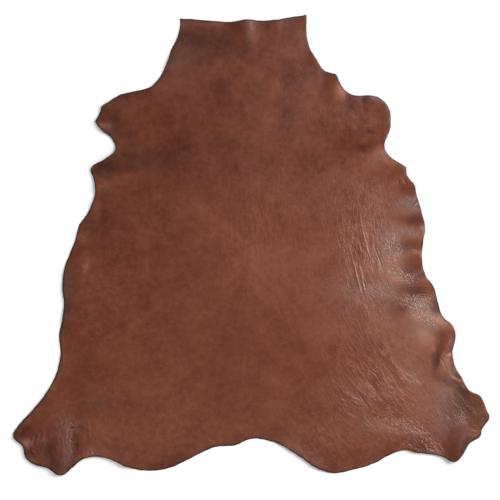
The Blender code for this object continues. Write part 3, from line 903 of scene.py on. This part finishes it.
# A painted sheen: a greyish veil in the colour that stands for the light's reflection; rows below 0
# take some away
PATCHES["painted_sheen"] = (
    (7, 424, 6, 18, 0.04), (-90, 440, 20, 5, 0.08), (56, 438, 5, 9, 0.06), (100, 420, 10, 14, 0.10),
    (-292, 240, 18, 5, 0.04), (-369, -122, 8, 14, 0.04), (-346, -430, 8, 12, 0.1),
    (-436, -432, 12, 10, 0.12), (-454, -354, 12, 10, 0.06), (-136, 440, 14, 8, 0.09),
    (-72, 444, 12, 6, 0.1), (-316, -416, 10, 12, 0.12), (88, -412, 12, 8, 0.12),
    (448, -372, 14, 16, 0.14), (390, -300, 18, 44, 0.08, -20), (408, -184, 3, 10, 0.22, -15),
    (399, -220, 4, 5, 0.1), (386, -234, 9, 10, 0.2), (396, -252, 4, 12, 0.22, 10),
    (411, -268, 14, 3, 0.14, -25), (400, -277, 16, 8, -0.1, -25), (426, -284, 6, 3, 0.3, -30),
    (234, 152, 14, 14, 0.06), (334, 62, 18, 14, 0.09), (304, 60, 14, 14, 0.06),
    (338, 0, 14, 8, 0.05), (312, -20, 14, 8, 0.12), (356, -80, 14, 8, 0.08),
    (322, -260, 16, 18, 0.14), (390, -158, 12, 8, 0.1), (464, -348, 10, 18, 0.04),
    (178, -448, 20, 8, 0.05), (330, -374, 34, 9, 0.12, -32), (366, -118, 13, 18, -0.38, 10),
    (300, -128, 14, 8, -0.1), (330, -409, 40, 8, -0.12, -5), (384, -296, 34, 50, 0.18, -20),
    (380, -362, 30, 30, 0.16, -20), (412, -350, 20, 16, 0.14), (270, -160, 60, 50, 0.08),
    (210, -300, 40, 34, 0.09), (0, -400, 420, 100, 0.035), (-382, -370, 20, 30, 0.06),
    (340, -250, 60, 60, 0.10), (342, -168, 28, 28, 0.26), (206, 295, 6, 5, 0.15),
    (244, 298, 6, 4, 0.3), (262, 180, 20, 14, 0.12), (262, -362, 50, 14, 0.16, -15),
    (-370, -392, 9, 34, 0.18), (-422, -390, 10, 12, 0.08), (-447, -396, 10, 7, 0.2),
    (-360, -70, 14, 30, 0.09), (-327, -38, 6, 18, 0.10, -12), (-130, 350, 40, 60, 0.05),
    (-310, -310, 24, 24, 0.06), (-380, -436, 30, 24, 0.06), (200, -110, 50, 24, 0.08),
    (272, -30, 40, 80, 0.22), (284, 8, 20, 34, 0.22), (298, -62, 24, 11, 0.24, -20),
    (311, -58, 14, 8, -0.12), (334, -102, 14, 8, -0.12), (352, -166, 18, 8, 0.12, -20),
    (398, -180, 6, 10, 0.10), (316, 78, 26, 14, 0.3), (322, 24, 22, 10, 0.16),
    (337, -116, 24, 13, 0.56), (350, -150, 30, 16, 0.34, -20), (240, -90, 90, 24, 0.15),
)
# Added to the roughness
PATCHES["matt"] = (
    (240, 250, 60, 60, -0.09), (150, 190, 80, 50, -0.05), (330, -408, 46, 12, -0.16, -5),
    (272, 266, 22, 22, -0.07), (368, -124, 12, 16, 0.4, 10), (-262, 180, 24, 12, -0.15),
)
# How strong the finest mottling is
PATCHES["mottled"] = (
    (0, 0, 2000, 2000, 1.0), (-300, -80, 170, 360, 1.1), (0, -420, 420, 100, 1.1),
    (20, 0, 130, 200, -0.3),
)
# How strong the crackle is, and so its painted glints
PATCHES["pebble"] = (
    (306, 84, 22, 20, 0.08), (205, -86, 40, 12, 0.10), (282, -8, 15, 20, 1.5),
    (302, -62, 24, 9, 1.5, -20), (334, -114, 26, 12, 1.9), (260, -96, 36, 12, 0.35),
    (344, -146, 26, 12, 0.6, -20), (368, -160, 30, 16, 0.3, -30), (290, -356, 36, 14, 0.5, -10),
    (345, -384, 44, 14, 0.4, -32), (416, -347, 10, 10, 0.8), (-364, -362, 26, 14, 0.7),
    (-362, -420, 16, 40, 0.4), (408, -326, 44, 46, 0.17, -20), (300, -330, 70, 40, 0.10, -30),
    (0, 0, 500, 500, 0.045),
)
# How strong the fine veins are
PATCHES["lines"] = (
    (230, -20, 70, 180, 1.0), (270, -300, 140, 100, 1.0, -20), (150, -400, 80, 50, 0.6),
    (10, 20, 100, 170, 0.5), (-370, -380, 70, 60, 0.5),
)
FIRMNESS = 2.5
# Painted light on crests and painted shade in hollows and creases, partly also dye rubbed off and
# gathered: how far round a place is compared, the height that counts in full, and the tone
HOLLOW_REACH = 12 * MM
HOLLOW_DEPTH = 1.5 * MM
SHADE_AND_WEAR = 0.25
CREASE_DEPTH = 0.5 * MM
CREASE_SHADE_AND_WEAR = 0.30
# The dark line along the edge: how far it fades, how dark it starts, and its uneven cover
RIM_LINE_FADE = 2.8 * MM
RIM_LINE_START = 1.4
RIM_LINE_COVER = 0.75
RIM_LINE_NOISE = ((0.35, 14 * MM, 9), (0.35, 45 * MM, 10))
# The veins run round this place; the scale of their noise for each metre from it and each radian
WRINKLE_CENTRE = (0.79, 0.12)
FLOW_ACROSS, FLOW_ALONG = 120, 14


def patch(x, y, firmness, across, along, half_width, half_length, amount, turn=0):
    """One oval's amount at each place; a higher firmness gives it a firmer border."""
    dx, dy = x - across * MM, y - along * MM
    c, s = math.cos(math.radians(turn)), math.sin(math.radians(turn))
    u = (dx * c + dy * s) / (half_width * MM)
    v = (dy * c - dx * s) / (half_length * MM)
    return amount * np.exp(-(u ** 2 + v ** 2) ** firmness)


def channel(name, x, y, firmness=1):
    """The sum of one channel's patches at each place."""
    total = np.zeros(x.shape)
    for row in PATCHES[name]:
        total += patch(x, y, firmness, *row)
    return total


def shade_and_wear(x, y):
    """Above 0 on crests and crease ridges, below 0 in hollows and crease troughs: painted light and
    painted shade that follow the relief, partly also dye rubbed off the crests and gathered in the
    hollows.
    """
    around = [node_height(x + HOLLOW_REACH * math.cos(turn), y + HOLLOW_REACH * math.sin(turn))
              for turn in np.arange(8) * math.tau / 8]
    stands = (node_height(x, y) - np.mean(around, axis=0)) / HOLLOW_DEPTH
    creased = relief_of(creases, x, y) / CREASE_DEPTH
    return SHADE_AND_WEAR * np.clip(stands, -1, 1) + CREASE_SHADE_AND_WEAR * np.clip(creased, -1, 1)


def store(mesh, name, values, kind="FLOAT"):
    """Keep a value for each of the mesh's points, for the materials to read."""
    attribute = mesh.attributes.new(name, kind, "POINT")
    field = "vector" if kind == "FLOAT_VECTOR" else "value"
    attribute.data.foreach_set(field, np.asarray(values, np.float32).ravel())


def paint(sheet):
    """Store everything that differs from place to place on the sheet."""
    mesh = sheet.data
    points = np.empty(len(mesh.vertices) * 3, np.float32)
    mesh.vertices.foreach_get("co", points)
    x, y, _z = points.reshape(-1, 3).T.astype(float)
    # The tone: the dye's own patches, with painted shade and painted light from the tone patches
    # and from the relief
    store(mesh, "tone", channel("tone", x, y) + channel("tone, firm", x, y, FIRMNESS) + shade_and_wear(x, y))
    for name in ("warmth", "painted_sheen", "matt", "mottled", "pebble", "lines"):
        store(mesh, name, channel(name, x, y))
    away = distance_to_edge(x, y)
    uneven = layered(RIM_LINE_NOISE, x, y, RIM_LINE_COVER)
    store(mesh, "edge", np.clip((RIM_LINE_START - away / RIM_LINE_FADE) * uneven, 0, 1))
    dx, dy = x - WRINKLE_CENTRE[0], y - WRINKLE_CENTRE[1]
    radius, angle = np.hypot(dx, dy), np.arctan2(dy, -dx)
    flow = np.stack([radius * FLOW_ACROSS, angle * FLOW_ALONG, np.zeros(len(x))], axis=1)
    store(mesh, "flow", flow, "FLOAT_VECTOR")


paint(sheet)
for material in (grain_material(), suede_material(), edge_material()):
    sheet.data.materials.append(material)

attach(sheet, "root")
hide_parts("hide")

# ---- Stage ----

# The light that reaches the floor, as a level at the middle and its rise to the right, up and both.
FLOOR_LIGHT = 1.50
FLOOR_LIGHT_RISE = (0.585, 0.27, 0.35)
FLOOR_LIGHT_LIMITS = (1.1, 2.0)
FLOOR_WHITE = 0.95
FLOOR_REACH = 0.62
FLOOR_SIZE = 8
FLOOR_LEVEL = -0.6 * MM
WHITE = (1, 1, 1, 1)


def floor_material():
    """Paper toned against the fall of the light, so that it comes out evenly white."""
    nodes = Nodes("floor")
    at = nodes.add("SeparateXYZ", nodes.add("TexCoord", output=3)).node
    across, along = (nodes.clamp(at.outputs[k], -FLOOR_REACH, FLOOR_REACH) for k in (0, 1))
    both = nodes.math("MULTIPLY", across, along)
    rise = nodes.weighted(*zip((across, along, both), FLOOR_LIGHT_RISE))
    light = nodes.clamp(nodes.math("ADD", rise, FLOOR_LIGHT), *FLOOR_LIGHT_LIMITS)
    nodes.shade(Base_Color=nodes.math("DIVIDE", FLOOR_WHITE, light), Roughness=0.9,
                Emission_Color=WHITE, Emission_Strength=0.10)
    return nodes.material


bpy.ops.mesh.primitive_plane_add(size=FLOOR_SIZE, location=(0, 0, FLOOR_LEVEL))
floor = bpy.context.object
floor.name = "floor"
floor.data.materials.append(floor_material())


def area_light(name, place, size, power, glossy=True):
    """A light that faces the middle of the hide."""
    data = bpy.data.lights.new(name, "AREA")
    data.shape = "RECTANGLE"
    data.size, data.size_y = size
    data.energy = power
    light = bpy.data.objects.new(name, data)
    bpy.context.scene.collection.objects.link(light)
    light.location = place
    light.rotation_euler = (-Vector(place)).to_track_quat("-Z", "Y").to_euler()
    light.visible_glossy = glossy


area_light("key", place=(1.5, 0.9, 1.9), size=(1.2, 1.2), power=60)
area_light("side", place=(2.2, 0.4, 1.2), size=(1.0, 1.0), power=42)
area_light("fill", place=(-0.9, -0.5, 2.5), size=(2.0, 2.0), power=25, glossy=False)
world = bpy.data.worlds.new("studio")
bpy.context.scene.world = world
world.use_nodes = True
background = world.node_tree.nodes["Background"].inputs
background["Color"].default_value = WHITE
background["Strength"].default_value = 0.3
world.cycles_visibility.glossy = False
bpy.context.scene.view_settings.view_transform = "Standard"

# Above, a little off the middle
CAMERA_PLACE = (-0.0024, -0.0101, 2.5)
camera_data = bpy.data.cameras.new("camera")
camera_data.lens = 90
camera_data.sensor_width = 36
camera = bpy.data.objects.new("camera", camera_data)
bpy.context.scene.collection.objects.link(camera)
camera.location = CAMERA_PLACE
bpy.context.scene.camera = camera

bpy.context.view_layer.update()
